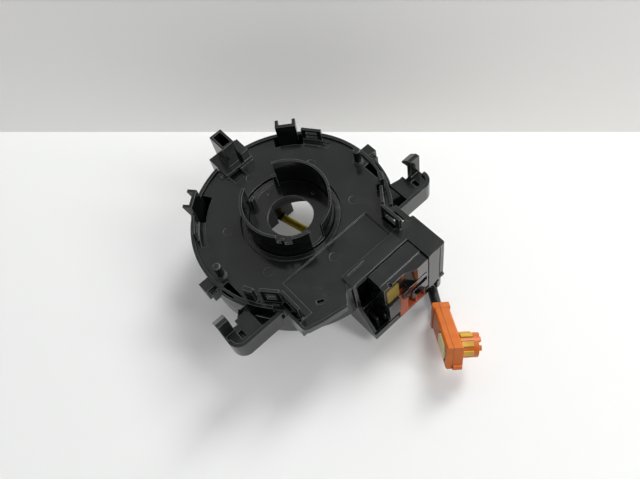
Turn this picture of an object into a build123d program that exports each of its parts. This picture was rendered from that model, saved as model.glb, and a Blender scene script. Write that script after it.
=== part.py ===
from build123d import *
import os
from math import cos, pi, radians, sin, tan

# Steering clock spring: the rotary cable unit between a steering column and its wheel.
# Z runs up the steering shaft's axis, out of the column side, which is the side with the
# clips and the connector box. The unit lies on its wheel side, on the plane Z = 0.
# X runs from the shaft's axis towards the connector box, and Y along that box.
# All lengths are in millimetres and all angles in degrees.

os.makedirs("parts", exist_ok=True)

# ---------------------------------------------------------------- driving dimensions
# Heights
lead_diameter = 4.6
sleeve_wall = 0.4
box_clearance = 1.5          # between the height of the lead and the box over it
box_depth = 46.0             # outer height of the connector box
box_rise = 1.0               # the box's top stands this far above the cover's face
plate_thickness = 2.4
drum_depth = 27.2            # from the cover's face down to the case's wheel side
rim_rise = 1.2               # the case's rim stands this far above the cover's face
cam_height = 17.4            # top of the cancel cam above the cover's face

# Radii about the shaft axis
case_radius = 52.0
case_wall = 1.8
cover_gap = 0.35             # between the cover's edge and the case's rim
chamber_radius = 40.6        # inside of the cable chamber
chamber_wall = 1.6
opening_radius = 26.2        # opening in the cover
bore_radius = 11.86          # hole in the hub's floor
hub_radius = 30.0            # outside of the hub's tube in the cable chamber
hub_wall = 1.4
well_radius = 21.0           # outside of the hub's floor, under the cam
well_wall = 1.6
cam_radius = 22.6
cam_wall = 1.3
floor_hole_gap = 1.6         # round the hub's tube, in the case's wheel side
face_radius = 41.0           # wheel-side disc

# Running gaps
turn_gap = 0.4               # faces that turn past each other
seat_gap = 0.2               # a pocket round the piece seated in it
spindle_gap = 0.05           # a roller on its spindle
cable_gap = 0.3              # the flat cable and whatever it runs beside

# Connector box
box_back = 44.4              # X of its back wall's outside
box_front = 66.8             # X of its front
box_start = -5.5             # Y of its open end
box_end = 42.2               # Y of its covered end
beam_width = 8.2
box_wall = 2.0
pad_start = 31.0             # Y where the box's top widens to its full depth
foot_front = 64.4            # X of the box's foot
end_cover_thickness = 3.5
box_corner = 1.5
swing_corner = 4.0           # round of the end cover's lower front corner
swing_step = 2.4             # how much higher than the box that corner ends

# Recess in the cover's face, beside the box, and the wing that carries it on
recess_start = 26.3
recess_half_width = 27.4
recess_depth = 1.2
wing_side = 36.2             # the wing's edge stands this far from the X axis
wing_lip = 1.3
rim_angle = 50.0             # the case's rim is left out within this angle of +X

# Flat cable and its rollers
turns_thickness = 1.6
ribbon_thickness = 0.4
u_roller_radius = 2.4
guide_roller_radius = 2.2
guide_roller_count = 4
u_roller_angle = 200.0
carrier_thickness = 1.5
spindle_radius = 0.9

# ---------------------------------------------------------------- derived heights
box_bottom = lead_diameter + box_clearance
box_top = box_bottom + box_depth + box_rise
plate_top = box_top - box_rise
plate_bottom = plate_top - plate_thickness
case_bottom = plate_top - drum_depth
case_floor = 1.8
chamber_floor = case_bottom + case_floor
rim_top = plate_top + rim_rise
cam_top = plate_top + cam_height
cover_radius = case_radius - case_wall - cover_gap
hub_floor_thickness = 2.0
flange_thickness = 2.2
flange_top = plate_bottom - turn_gap
flange_bottom = flange_top - flange_thickness
floor_hole_radius = hub_radius + floor_hole_gap
shoulder_radius = floor_hole_radius + 1.2
shoulder_thickness = 1.2
shoulder_bottom = chamber_floor + turn_gap
face_thickness = 2.2
face_top = case_bottom - turn_gap
face_bottom = face_top - face_thickness
carrier_bottom = chamber_floor + turn_gap
carrier_top = carrier_bottom + carrier_thickness
cable_bottom = carrier_top + cable_gap
cable_top = flange_top - flange_thickness - 0.5


# ---------------------------------------------------------------- helpers
def block(x, y, z):
    """A box from three (low, high) pairs."""
    size = (x[1] - x[0], y[1] - y[0], z[1] - z[0])
    centre = ((x[0] + x[1]) / 2, (y[0] + y[1]) / 2, (z[0] + z[1]) / 2)
    return Pos(*centre) * Box(*size)


def rod(x, y, radius, bottom, top):
    """An upright cylinder."""
    return Pos(x, y, (bottom + top) / 2) * Cylinder(radius, top - bottom)


def tube(outer, inner, bottom, top):
    """A ring about the shaft axis."""
    ring = rod(0, 0, outer, bottom, top)
    return ring - rod(0, 0, inner, bottom - 1, top + 1)


def sector(inner, outer, start, end, bottom, top):
    """Part of a ring about the shaft axis, between two angles."""
    outside = CenterArc((0, 0), outer, start, end - start)
    inside = CenterArc((0, 0), inner, start, end - start)
    sides = [Line(inside @ 0, outside @ 0), Line(inside @ 1, outside @ 1)]
    return Pos(0, 0, bottom) * extrude(make_face([outside, inside] + sides), top - bottom)


def plan(points, bottom, top):
    """A flat outline, pulled up from one height to another."""
    return Pos(0, 0, bottom) * extrude(make_face(Polyline(*points, close=True)), top - bottom)


def side_profile(points, start, end):
    """An outline in X and Z, pulled along Y from start to end."""
    face = make_face(Polyline(*[(x, start, z) for x, z in points], close=True))
    return extrude(face, end - start, dir=(0, 1, 0))


def at_angle(shape, angle):
    """A shape drawn on the +X side, turned about the shaft axis."""
    return Rot(0, 0, angle) * shape


def both_sides(shape):
    """A shape and its mirror image across the X axis."""
    return shape + mirror(shape, Plane.XZ)


def save(name, shape):
    shape.label = name
    export_step(shape, os.path.join("parts", name + ".step"))


def window_plate(radius, width, thickness, bottom, top, windows):
    """An upright plate across +X at a radius, with windows cut through its thickness."""
    plate = block((radius - thickness, radius), (-width / 2, width / 2), (bottom, top))
    margin = width / 2 - 2.4
    for low, high in windows:
        plate -= block((radius - 2 * thickness, radius + 1), (-margin, margin), (low, high))
    return plate


# ---------------------------------------------------------------- column cover
notch_angles = (112.5, 150.5)
notch_radius = case_radius - 7.8
strip_radius = case_radius - 4.4   # the strip behind each rear window clip
strip_end = 131.4
pin_radius = 1.9
pin_height = 10.4
pin_place = (1.2, case_radius - 5.8)
slot_x = (6.0, 19.6)
slot_line = case_radius - 6.0   # Y of the slot's straight inner edge
post_angle = 62.7
side_clip_height = 10.2
side_clip_line = 32.4        # Y of the clip plates beside the box
side_clip_span = (33.8, 46.4)
clip_thickness = 1.5
corner_clip_height = 11.2
corner_clip_radius = case_radius - 4.2
corner_clip_angle = 50.5
corner_clip_width = 9.6
tower_height = 17.5
tower_x = (-case_radius - 5.0, 6.6 - case_radius)
tower_half_width = 3.7
tower_wall = 1.3
tower_base_x = (-case_radius - 5.4, 10.2 - case_radius)
tower_base_half_width = 8.8
tower_base_height = 2.6
tower_skirt = 8.0
mark_radius = 2.4            # shallow round marks that the ejector pins left
mark_circle = 32.9
mark_depth = 0.15
band_edge = 41.0             # Y of the band beside the side clips
cover_reach = 49.4           # X of the band's outer corner

cover = rod(0, 0, cover_radius, plate_bottom, plate_top)
cover += sector(45, case_radius, 0.4 - rim_angle, rim_angle - 0.4, plate_bottom, plate_top)
deck_outline = [
    (34.4, -wing_side),
    (cover_reach, -wing_side),
    (cover_reach, band_edge),
    (34.4, band_edge),
]
cover += plan(deck_outline, plate_bottom, plate_top)
wing_outline = [
    (44.0, -wing_side),
    (52.6, -wing_side),
    (55.2, -27.0),
    (57.6, -13.6),
    (box_back + 2, box_start + 0.5),
    (44.0, box_start + 0.5),
]
wing = plan(wing_outline, plate_bottom - 1.8, plate_top)
wing = fillet(wing.edges().filter_by(Axis.Z).sort_by(Axis.Y)[:2].sort_by(Axis.X)[-1:], 3.4)
hollow = plan([(x - wing_lip, y + wing_lip) for x, y in wing_outline], 0, plate_bottom)
cover += wing - hollow
beam_profile = [
    (box_back, plate_bottom),
    (box_back, plate_top),
    (box_back + 1.2, box_top),
    (box_back + beam_width - 0.4, box_top),
    (box_back + beam_width, box_top - 0.4),
    (box_back + beam_width, plate_bottom),
]
cover += side_profile(beam_profile, box_start, box_end)

# The recess runs under the box's beam line and on over the wing.
cover -= block((recess_start, box_back), (-recess_half_width, recess_half_width),
               (plate_top - recess_depth, plate_top + 0.5))
wing_floor = plan([(x - wing_lip, y + wing_lip) for x, y in wing_outline],
                  plate_top - recess_depth, plate_top + 0.5)
wing_floor -= block((0, 47.6), (-60, -recess_half_width), (0, 100))
cover -= wing_floor - block((box_back, 80), (box_start, 20), (0, 100))

# Shaft opening, with its lip broken
cover -= rod(0, 0, opening_radius, 0, 100)
cover -= Pos(0, 0, plate_top) * Cone(opening_radius - 0.6, opening_radius + 0.6, 1.2)

# Notches for the case's latch arms, leaving the strips that carry the window clips
notch = sector(notch_radius, 60, *notch_angles, 0, 100)
notch -= sector(strip_radius, 60, notch_angles[0] - 1, strip_end, 0, 100)
slots = block(slot_x, (slot_line, 60), (0, 100))
cover -= both_sides(notch + slots)
# Holes that free the side clips: a wide one beside the box and a narrow one in the wing
clip_inner = side_clip_line - clip_thickness / 2 - 1.0
clip_hole = side_clip_span[0] + 0.6
cover -= plan([(clip_hole, clip_inner), (box_back - 0.8, clip_inner),
               (box_back - 0.8, band_edge - 2.8), (clip_hole + 2.0, band_edge - 2.8),
               (clip_hole, clip_inner + 4)], 0, 100)
cover -= block((clip_hole, 47.4), (1.4 - wing_side, -clip_inner), (0, 100))

# Shallow marks and the small slot in the wing
for step in range(6):
    spot = at_angle(Pos(mark_circle, 0, 0) * Cylinder(mark_radius, 2 * mark_depth), 60 * step)
    floor_height = plate_top - (recess_depth if step == 0 else 0)
    cover -= Pos(0, 0, floor_height) * spot
small_slot = Pos(46.1, -20.8, 0) * Rot(0, 0, 62) * Box(3.5, 2.3, 300)
cover -= small_slot

# Pins, posts and window clips
pin = rod(*pin_place, pin_radius, plate_bottom, plate_top + pin_height - 0.6)
pin += Pos(*pin_place, plate_top + pin_height - 0.6) * Cylinder(pin_radius - 0.35, 1.2)
pin_foot = rod(*pin_place, pin_radius + 0.7, plate_bottom, plate_top + 1.2)
post = block((case_radius - 4.5, case_radius - 2.5), (-2.5, 2.5), (plate_bottom, plate_top + 12))
post += block((case_radius - 6.4, case_radius - 4.4), (-0.7, 0.7), (plate_bottom, plate_top + 6))
post = at_angle(post, post_angle)
rear_windows = [(plate_top + 1.0, plate_top + 2.8), (plate_top + 4.0, plate_top + 6.0)]
rear_clip = window_plate(case_radius - 2.4, 10.9, clip_thickness, plate_bottom, plate_top + 7.5,
                         rear_windows)
rear_clip = at_angle(rear_clip, 125.0)
corner_windows = [(plate_top + 2.6, plate_top + 8.6)]
corner_clip = window_plate(corner_clip_radius, corner_clip_width, clip_thickness, plate_bottom,
                           plate_top + corner_clip_height, corner_windows)
corner_clip = at_angle(corner_clip, corner_clip_angle)
side_line = (side_clip_line - clip_thickness / 2, side_clip_line + clip_thickness / 2)
side_clip = block(side_clip_span, side_line, (plate_bottom, plate_top + side_clip_height))
side_clip -= block((side_clip_span[0] + 2.6, side_clip_span[1] - 2.8), (30, 35),
                   (plate_top + 2.4, plate_top + 7.4))
cover += both_sides(pin + pin_foot + post + rear_clip + corner_clip + side_clip)

# Tower with its socket, on a base that steps down outside the case's rim
tower = block(tower_base_x, (-tower_base_half_width, tower_base_half_width),
              (plate_bottom, plate_top + tower_base_height))
tower += block((tower_base_x[0], -case_radius - 0.4), (-tower_base_half_width,
               tower_base_half_width), (plate_top - tower_skirt, plate_bottom))
tower += block(tower_x, (-tower_half_width, tower_half_width),
               (plate_top, plate_top + tower_height))
tower += block((-case_radius, 9.6 - case_radius), (tower_half_width, tower_base_half_width - 0.6),
               (plate_top, plate_top + 9.0))
tower -= block((tower_x[0] + tower_wall, tower_x[1] - tower_wall),
               (tower_wall - tower_half_width, tower_half_width - tower_wall),
               (plate_top + 4.0, plate_top + tower_height + 1))
tower += block((5.2 - case_radius, 7.8 - case_radius), (-11.8, -9.4), (plate_bottom, plate_top + 1.4))
cover += tower
cover -= block((8.4 - case_radius, 15.6 - case_radius), (-7.5, 0.0), (plate_top - 1.8, plate_top + 0.5))

# Arms beside the drum: a rail with a rounded end, its tray, its shelf and its snap hook
arm_x = 37.6                 # outside of the rail
arm_wall = 2.0
arm_round = 6.5
arm_reach = 65.6
arm_low = plate_top - 13.0
arm_high = plate_top - 1.0
tray_top = plate_top - 2.6
tray_bottom = plate_top - 4.8
round_place = (arm_x - arm_round, arm_reach - arm_round)
rail = block((arm_x - arm_wall, arm_x), (38.6, round_place[1]), (arm_low, arm_high))
bend = rod(*round_place, arm_round, arm_low, arm_high)
bend -= rod(*round_place, arm_round - arm_wall, 0, 100)
bend = bend & block((round_place[0], 50), (round_place[1], 80), (0, 100))
tip = block((round_place[0] - 1.0, round_place[0]), (arm_reach - arm_wall, arm_reach), (arm_low, arm_high))
shelf_start = round_place[1] - 3.0
tray_start = shelf_start - 7.8
tray = plan([(22.2, tray_start), (24.0, shelf_start + 0.3), (arm_x - 1, shelf_start + 0.3),
             (arm_x - 1, tray_start)], tray_bottom, tray_top)
shelf = block((25.8, round_place[0]), (shelf_start, arm_reach - 1), (tray_bottom, tray_top))
shelf += block((25.8, arm_x - 1), (shelf_start, round_place[1]), (tray_bottom, tray_top))
shelf += rod(*round_place, arm_round - 1, tray_bottom, tray_top)
shelf -= block((29.2, 33.4), (shelf_start + 0.6, shelf_start + 3.2), (0, 100))
tray_rib = block((23.4, arm_x - 1), (shelf_start - 1.4, shelf_start + 0.3), (tray_bottom - 5, tray_top))
# Floor of the pocket between the rail, the tray and the drum
pocket_floor = plan([(24.0, 40.0), (24.0, shelf_start), (arm_x - 1, shelf_start), (arm_x - 1, 40.0)],
                    arm_low, arm_low + 1.4)
pocket_floor += block((23.4, arm_x - 1), (shelf_start - 1.4, shelf_start), (arm_low, tray_top))
hook_outline = [
    (27.0, plate_top - 9.0),
    (27.0, plate_top + 10.0),
    (24.6, plate_top + 9.6),
    (20.6, plate_top + 5.6),
    (20.3, plate_top + 4.0),
    (24.3, plate_top + 4.6),
    (24.3, plate_top - 9.0),
]
hook = side_profile(hook_outline, arm_reach - 6.4, arm_reach - 0.3)
arm = rail + bend + tip + tray + shelf + tray_rib + pocket_floor + hook
arm -= rod(0, 0, case_radius + cover_gap, 0, 100)
cover += both_sides(arm)
cover += block((arm_x - arm_wall, arm_x), (-40.0, 0.5 - wing_side), (plate_bottom, arm_high))
# Floors under the holes beside the side clips, and the wall that carries the one in the wing
clip_floor = block((36.0, box_back + 0.5), (clip_inner, band_edge), (arm_low, arm_low + 1.4))
clip_floor += block((36.0, 49.0), (-wing_side, -clip_inner), (arm_low, arm_low + 1.4))
clip_floor += block((36.0, 49.0), (-wing_side, 1.4 - wing_side), (arm_low, plate_bottom))
cover += clip_floor - rod(0, 0, case_radius + cover_gap, 0, 100)

# Connector box: back wall, open end, floor, front and pad
foot_top = plate_top - 40.5
column_bottom = plate_top - 34.5
cover += block((box_back, box_back + box_wall), (box_start, box_end - end_cover_thickness - seat_gap),
               (box_bottom, box_top))
mouth_outline = [
    (box_back, box_top),
    (box_back + beam_width, box_top),
    (box_back + beam_width + 0.6, plate_top - 25.0),
    (foot_front - 1.4, plate_top - 41.0),
    (foot_front, box_bottom),
    (box_back, box_bottom),
]
cover += side_profile(mouth_outline, box_start, box_start + box_wall)
wall_end = box_end - end_cover_thickness - seat_gap
cover += block((box_back, foot_front), (box_start, wall_end), (box_bottom, box_bottom + box_wall))
cover += block((foot_front - 1.7, foot_front), (box_start, 11.0), (box_bottom, foot_top))
cover += block((foot_front - 1.7, foot_front), (pad_start, wall_end), (box_bottom, foot_top))
cover += block((box_front - box_wall, box_front), (pad_start, wall_end), (column_bottom, box_top))
pad = block((box_back + beam_width - 0.5, box_front), (pad_start, box_end), (plate_bottom, box_top))
pad = fillet(pad.edges().filter_by(Axis.Z).sort_by(Axis.X)[-2:], box_corner)
cover += pad
cover -= block((box_back + 1.4, box_back + 2.2), (-3.0, 8.0), (box_top - 0.8, box_top + 1))
# Ribs in the open bay, and the rails that the connector stands on
bay_top = plate_top - 28.0
cover += block((box_back + 1, foot_front - 4), (-0.6, 0.6), (box_bottom + 1, bay_top - 6))
cover += block((box_back + 7.6, box_back + 9), (box_start + 1.5, 3.4), (box_bottom + 1, bay_top))
connector_bottom = plate_top - 38.0
for rail_y in (5.2, 9.4):
    cover += block((box_back + 1, foot_front - 1), (rail_y, rail_y + 1.4),
                   (box_bottom + 1, connector_bottom))
# Window in the back wall for the flat cable's outer end
end_block_y = (12.0, 20.0)
end_block_z = (plate_top - 24.0, plate_top - 14.0)
end_window = block((36.0, box_back + box_wall + 1),
                   (end_block_y[0] - seat_gap, end_block_y[1] + seat_gap),
                   (end_block_z[0] - seat_gap, end_block_z[1] + seat_gap))
cover -= end_window
save("column_cover", cover)

# ---------------------------------------------------------------- drum case
arm_middle = 141.0           # angle of the rear latch arms
arm_half = 5.5               # half of a latch arm's width
latch_top = plate_top + 9.8
latch_root = plate_top - 14.0
latch_inset = 1.2            # from the case's side to a latch arm's outer face
latch_radius = case_radius - latch_inset
lug_reach = case_radius + 5.5
lug_bottom = plate_top - 8.5

case = tube(case_radius, floor_hole_radius, case_bottom, chamber_floor)
case += tube(case_radius, case_radius - case_wall, case_bottom, plate_bottom)
case += sector(case_radius - case_wall, case_radius, rim_angle, 360 - rim_angle,
               plate_bottom - 1, rim_top)
case += tube(chamber_radius + chamber_wall, chamber_radius, case_bottom, plate_bottom)
case += tube(chamber_radius, chamber_radius - cable_gap - turns_thickness - 0.05,
             chamber_floor - 0.5, cable_bottom - 0.25)
for angle in (30, 60, 95, 110, 165, 195, 250, 265, 300, 330):
    case += at_angle(block((chamber_radius + 0.5, case_radius - 0.5), (-0.7, 0.7),
                           (case_bottom + 0.5, plate_bottom - 5)), angle)
# Square lugs with their steps, and the loops of wall beside them
lug = block((-3.3, 2.9), (case_radius - 1, lug_reach), (lug_bottom, plate_top))
lug += block((2.5, 5.6), (case_radius - 1, lug_reach - 1.4), (lug_bottom, plate_top - 2.2))
loop = sector(case_radius - 0.8, case_radius + 1.5, 65.0, 84.0, lug_bottom, rim_top - 0.6)
case += both_sides(lug + loop)
case -= both_sides(sector(case_radius - 0.5, case_radius + 0.5, 72.5, 81.0, lug_bottom + 2.5, 100))
# The latch arms with their ears
latch = block((latch_radius - case_wall, latch_radius), (-arm_half, arm_half),
              (latch_root, latch_top))
ear_outline = [
    (latch_radius - case_wall, latch_top - 9),
    (latch_radius - case_wall, latch_top),
    (latch_radius + 3.2, latch_top),
    (latch_radius + 0.7, latch_top - 8.8),
    (latch_radius, latch_top - 9),
]
latch += side_profile(ear_outline, -arm_half, 1.8 - arm_half)
latch += side_profile(ear_outline, arm_half - 1.8, arm_half)
latch = at_angle(latch, arm_middle)
case += both_sides(latch)
# Room for the tower's base, for the connector box and for the flat cable's outer end
case -= block((-case_radius - 18, 7 - case_radius),
              (-tower_base_half_width - 0.4, tower_base_half_width + 0.4),
              (plate_bottom, 100))
case -= block((box_back - 0.5, 80), (box_start - 0.5, box_end + 0.5), (0, 100))
case -= end_window
save("drum_case", case)

# ---------------------------------------------------------------- box end cover
end_start = box_end - end_cover_thickness
end_cover = block((box_back, box_front - 0.8), (end_start, box_end), (box_bottom, plate_bottom))
end_cover += block((box_front - 10, box_front), (end_start, box_end), (box_bottom, plate_top - 33.0))
end_cover += block((box_back + 3.6, foot_front - 4.4), (end_start - 2.3, end_start),
                   (box_bottom + box_wall + 0.3, box_bottom + 16))
end_cover -= block((box_back + 5, foot_front - 6), (end_start - 2.8, end_start - 0.1),
                   (box_bottom + 5, box_bottom + 17))
end_cover += block((box_front - 2.0, box_front + 0.5), (end_start - 2.1, box_end),
                   (column_bottom - 7.5, column_bottom - 0.4))
end_cover -= block((50.0, 61.0), (box_end - 0.8, box_end + 1), (20.0, 42.0))
# The lower front corner is rounded and cut short, so that the plug swings past it
swing_top = column_bottom - 0.2
rounded = block((box_front - swing_corner, box_front + 2), (box_end - swing_corner, box_end + 1),
                (box_bottom - 1, swing_top))
rounded -= Pos(box_front - swing_corner, box_end - swing_corner, swing_top / 2) * Cylinder(
    swing_corner, 2 * swing_top)
end_cover -= rounded
end_cover -= block((foot_front - 2.4, box_front + 2), (end_start - 3, box_end + 1),
                   (box_bottom - 1, box_bottom + swing_step))
save("box_end_cover", end_cover)

# ---------------------------------------------------------------- column connector
insert_x = (53.0, box_front - 0.2)
insert_y = (3.8, pad_start - 0.4)
cheek_y = 11.4               # Y where the left cheek ends and the bay begins
second_step = 61.0
curve_x = 64.0               # front of the top's set-back part
bay_x = 56.2
bay_y = (cheek_y, insert_y[1] - 1.0)
bay_top_z = plate_top - 13.0
lock_z = (plate_top - 15.6, plate_top - 3.8)
latch_z = (plate_top - 16.4, plate_top - 13.2)
panel_z = (plate_top - 30.0, plate_top - 22.2)
insert = block(insert_x, insert_y, (connector_bottom, plate_top))
insert -= block((second_step, 70), (0, 40), (plate_top - 0.8, plate_top + 1))
# The bay, open below and to the front, and the panel that covers its upper right
insert -= block((bay_x, box_front - 1.2), bay_y, (0, bay_top_z))
insert -= block((box_front - 1.5, 70), (cheek_y, bay_y[1]), (latch_z[0] - 0.2, bay_top_z))
insert -= block((box_front - 1.5, 70), (cheek_y, 19.5), (0, bay_top_z))
insert -= block((box_front - 1.5, 70), (19.4, 24.5), (panel_z[1], bay_top_z))
insert -= block((box_front - 1.5, 70), (24.4, bay_y[1]), (panel_z[1], latch_z[0]))
insert -= block((box_front - 1.5, 70), (cheek_y, 40), (0, panel_z[0]))
insert -= block((62.0, 70), (0, cheek_y + 0.1), (0, plate_top - 31.0))
# The top's front edge swings back in a curve, and has a small notch
swing = plan([(70, 23.4), (insert_x[1], 23.4), (insert_x[1] - 0.5, 21.6), (curve_x + 0.7, 18.8),
              (curve_x, 17.2), (curve_x, 0), (70, 0)], lock_z[0] - 0.4, plate_top + 1)
insert -= swing
insert -= block((curve_x - 1.6, 70), (7.4, 9.2), (plate_top - 3.0, plate_top + 1))
insert -= block((58.0, 70), (4.6, cheek_y + 1.2), (lock_z[0] - 0.2, lock_z[1] + 0.2))
pin_rows = (plate_top - 36.0, plate_top - 29.0)
pin_places = (18.3, 20.1, 21.9, 24.5, 26.3, 28.1)
pin_side = 0.8
hole_side = 1.2
for row in pin_rows:
    for place in pin_places:
        insert -= Pos(54.6, place, row) * Box(6, hole_side, hole_side)
save("column_connector", insert)

# ---------------------------------------------------------------- airbag socket and its lock
socket_x = (bay_x + seat_gap, box_front - 1.6)
socket_y = (bay_y[0] + seat_gap, bay_y[1] - seat_gap)
socket_z = (plate_top - 43.0, plate_top - 23.0)
socket_split = 17.4          # Y where the solid left part ends and the hollows begin
socket = block(socket_x, socket_y, socket_z)
socket += block(socket_x, (socket_y[0], socket_split + 1), (socket_z[1] - 0.5, latch_z[0] - 0.3))
for hollow_y in ((socket_split, socket_split + 5.4), (socket_split + 6.3, socket_y[1] - 0.6)):
    socket -= block((59.0, 70), hollow_y, (socket_z[0] + 1.6, socket_z[1] - 2.0))
for row in pin_rows:
    for place in pin_places:
        socket -= Pos(57.6, place, row) * Box(4, hole_side, hole_side)
save("airbag_socket", socket)

lock = block((58.2, curve_x + 0.8), (4.8, cheek_y + 1.0), lock_z)
save("socket_lock", lock)

# ---------------------------------------------------------------- socket latch
latch_x = (curve_x + 0.2, box_front + 0.1)
socket_latch = block(latch_x, (17.0, bay_y[1] - seat_gap), latch_z)
socket_latch += block((box_front - 1.3, latch_x[1]), (13.4, 17.6), (latch_z[0] - 5.0, latch_z[1] - 1.0))
save("socket_latch", socket_latch)

# ---------------------------------------------------------------- column terminals
holder_x = (51.0, insert_x[0])
terminals = block(holder_x, (cheek_y, bay_y[1]), (pin_rows[0] - 1.6, plate_top - 15.0))
for row in pin_rows:
    for place in pin_places:
        pin_length = 63.0 - holder_x[1] + 0.5
        terminals += Pos(holder_x[1] - 0.5 + pin_length / 2, place, row) * Box(
            pin_length, pin_side, pin_side)
save("column_terminals", terminals)

# ---------------------------------------------------------------- flat cable, outer end
outer_block = block((38.9, holder_x[0]), end_block_y, end_block_z)
outer_block -= block((41.0, 43.0), (end_block_y[0] - 1, end_block_y[0] + 0.8), (0, 100))
save("cable_end_block_outer", outer_block)

turns_outer = chamber_radius - cable_gap
turns_inner = turns_outer - turns_thickness
save("cable_outer_turns", tube(turns_outer, turns_inner, cable_bottom, cable_top))

# ---------------------------------------------------------------- rotor hub
bore_lip = 0.4
well_inner = well_radius - well_wall
hub = tube(hub_radius, hub_radius - hub_wall, face_top, flange_top)
hub += tube(hub_radius, well_inner, flange_bottom, flange_top)
hub += tube(well_radius, well_inner, flange_bottom, plate_top)
hub += tube(well_inner + 0.5, bore_radius, plate_top - hub_floor_thickness, plate_top)
hub += tube(shoulder_radius, hub_radius - 0.5, shoulder_bottom, shoulder_bottom + shoulder_thickness)
for x, y in ((-18.6, -0.4), (14.2, 0.2), (-1.6, 16.8)):
    hub += rod(x, y, 0.8, plate_top - 0.5, plate_top + 0.5)
# Slot in the tube for the flat cable's inner end
inner_block_z = (face_bottom - 2.0, cable_top - 3.0)
hub -= block((-hub_radius - 2, 0), (-4.2, 4.2), (0, inner_block_z[1] + seat_gap))
save("rotor_hub", hub)

# ---------------------------------------------------------------- cancel cam
cam_inner = cam_radius - cam_wall
cam_low = plate_top + 0.2


def cam_wall_part(start, end, height):
    """A length of the cam's wall, up to a height above the cover's face."""
    return sector(cam_inner, cam_radius, start, end, flange_top, plate_top + height)


cam = tube(cam_radius, cam_inner, flange_top, cam_low)
cam += cam_wall_part(57.0, 157.0, cam_height)
cam += cam_wall_part(210.0, 308.5, cam_height)
cam += cam_wall_part(314.0, 350.0, 15.0)
cam += cam_wall_part(9.0, 45.0, 13.2)
cam += cam_wall_part(308.0, 315.0, 12.0)
cam += sector(cam_inner - 1.6, cam_inner + 0.1, 157.0, 163.0, cam_low - 0.15, plate_top + 9.0)
cam += sector(cam_inner - 1.6, cam_inner + 0.1, 203.0, 211.0, cam_low - 0.15, plate_top + 6.5)
cam -= sector(cam_inner - 1, cam_radius + 1, 318.0, 327.0, plate_top + 10.5, 100)
# The step at the end of the low wall rises in a slope
slope_count = 5
for step in range(slope_count):
    start = 44.6 + 2.6 * step
    rise = 13.2 + (cam_height - 13.2) * (step + 0.5) / slope_count
    cam += cam_wall_part(start, start + 2.8, rise)
save("cancel_cam", cam)

# ---------------------------------------------------------------- slide ring
ring_inner = cam_radius + 0.6
ring_outer = opening_radius - 0.8
save("slide_ring", tube(ring_outer, ring_inner, flange_top, plate_top - 1.0))

# ---------------------------------------------------------------- rotor face
shroud_x = (-39.5, -31.0)
shroud_y = (-10.0, 17.0)
shroud_wall = 1.8
pocket_x = (shroud_x[0] + shroud_wall, shroud_x[1] - shroud_wall)
pocket_y = (shroud_y[0] + shroud_wall, shroud_y[1] - shroud_wall)
face_hole = hub_radius - hub_wall
lug_places = ((29.0, -20.5), (35.2, 9.0))
face = tube(face_radius, face_hole, face_bottom, face_top)
face += tube(face_radius, face_radius - 1.6, face_bottom - 3.0, face_top)
face += tube(floor_hole_radius - 0.6, hub_radius + 0.15, face_top - 0.5, face_top + 2.0)
face += tube(face_hole + 1.6, face_hole, face_bottom - 3.0, face_top - 0.5)
for angle in range(20, 360, 40):
    if not 150 < angle < 210:
        face += at_angle(block((face_hole + 1, face_radius - 1), (-0.7, 0.7),
                               (face_bottom - 2.4, face_bottom + 0.5)), angle)
face += block(shroud_x, shroud_y, (0, face_bottom + 0.5))
face -= block(pocket_x, pocket_y, (-1, face_bottom))
for x, y in lug_places:
    face += rod(x, y, 2.4, 0, face_bottom + 0.5)
    face += block((x - 4.4, x + 4.4), (y - 0.9, y + 0.9), (0, face_bottom + 0.5))
    face += block((x - 0.9, x + 0.9), (y - 4.4, y + 4.4), (0, face_bottom + 0.5))
# Slots for the flat cable's inner end, the window it enters by and the lead's way out
strip_z = (face_bottom - 2.0, face_bottom - 0.2)
pin_line = (pocket_x[0] + pocket_x[1]) / 2
face -= block((-hub_radius - 0.5, 0), (-4.2, 4.2), (0, face_top + 5))
face -= block((pin_line, 0), (-3.9, 3.9), (strip_z[0] - seat_gap, face_bottom))
lead_height = lead_diameter / 2 + sleeve_wall + 0.1
face -= block((-33.5, -30.5), (5.3, 11.6), (-1, 2 * lead_height + 0.2))
save("rotor_face", face)

# ---------------------------------------------------------------- wheel connector
plug_x = (pocket_x[0] + seat_gap, pocket_x[1] - seat_gap)
plug_y = (pocket_y[0] + seat_gap, 5.8)
plug_z = (2.5, 20.0)
plug_wall = 0.9
plug = block(plug_x, plug_y, plug_z)
plug -= block((plug_x[0] + plug_wall, plug_x[1] - plug_wall),
              (plug_y[0] + plug_wall, plug_y[1] - plug_wall), (0, 15.0))
wheel_pins = [-5.6 + 1.9 * count for count in range(5)]
for place in wheel_pins:
    plug -= Pos(pin_line, place, 17) * Box(1.1, 1.1, 8)
save("wheel_connector", plug)

bar_top = plug_z[1] + 1.5
wheel_terminals = block((pin_line - 0.7, pin_line + 0.7), (-6.8, 3.2), (plug_z[1], bar_top))
for place in wheel_pins:
    wheel_terminals += Pos(pin_line, place, (5.0 + bar_top - 0.5) / 2) * Box(0.7, 0.7, bar_top - 5.5)
save("wheel_terminals", wheel_terminals)

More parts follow.
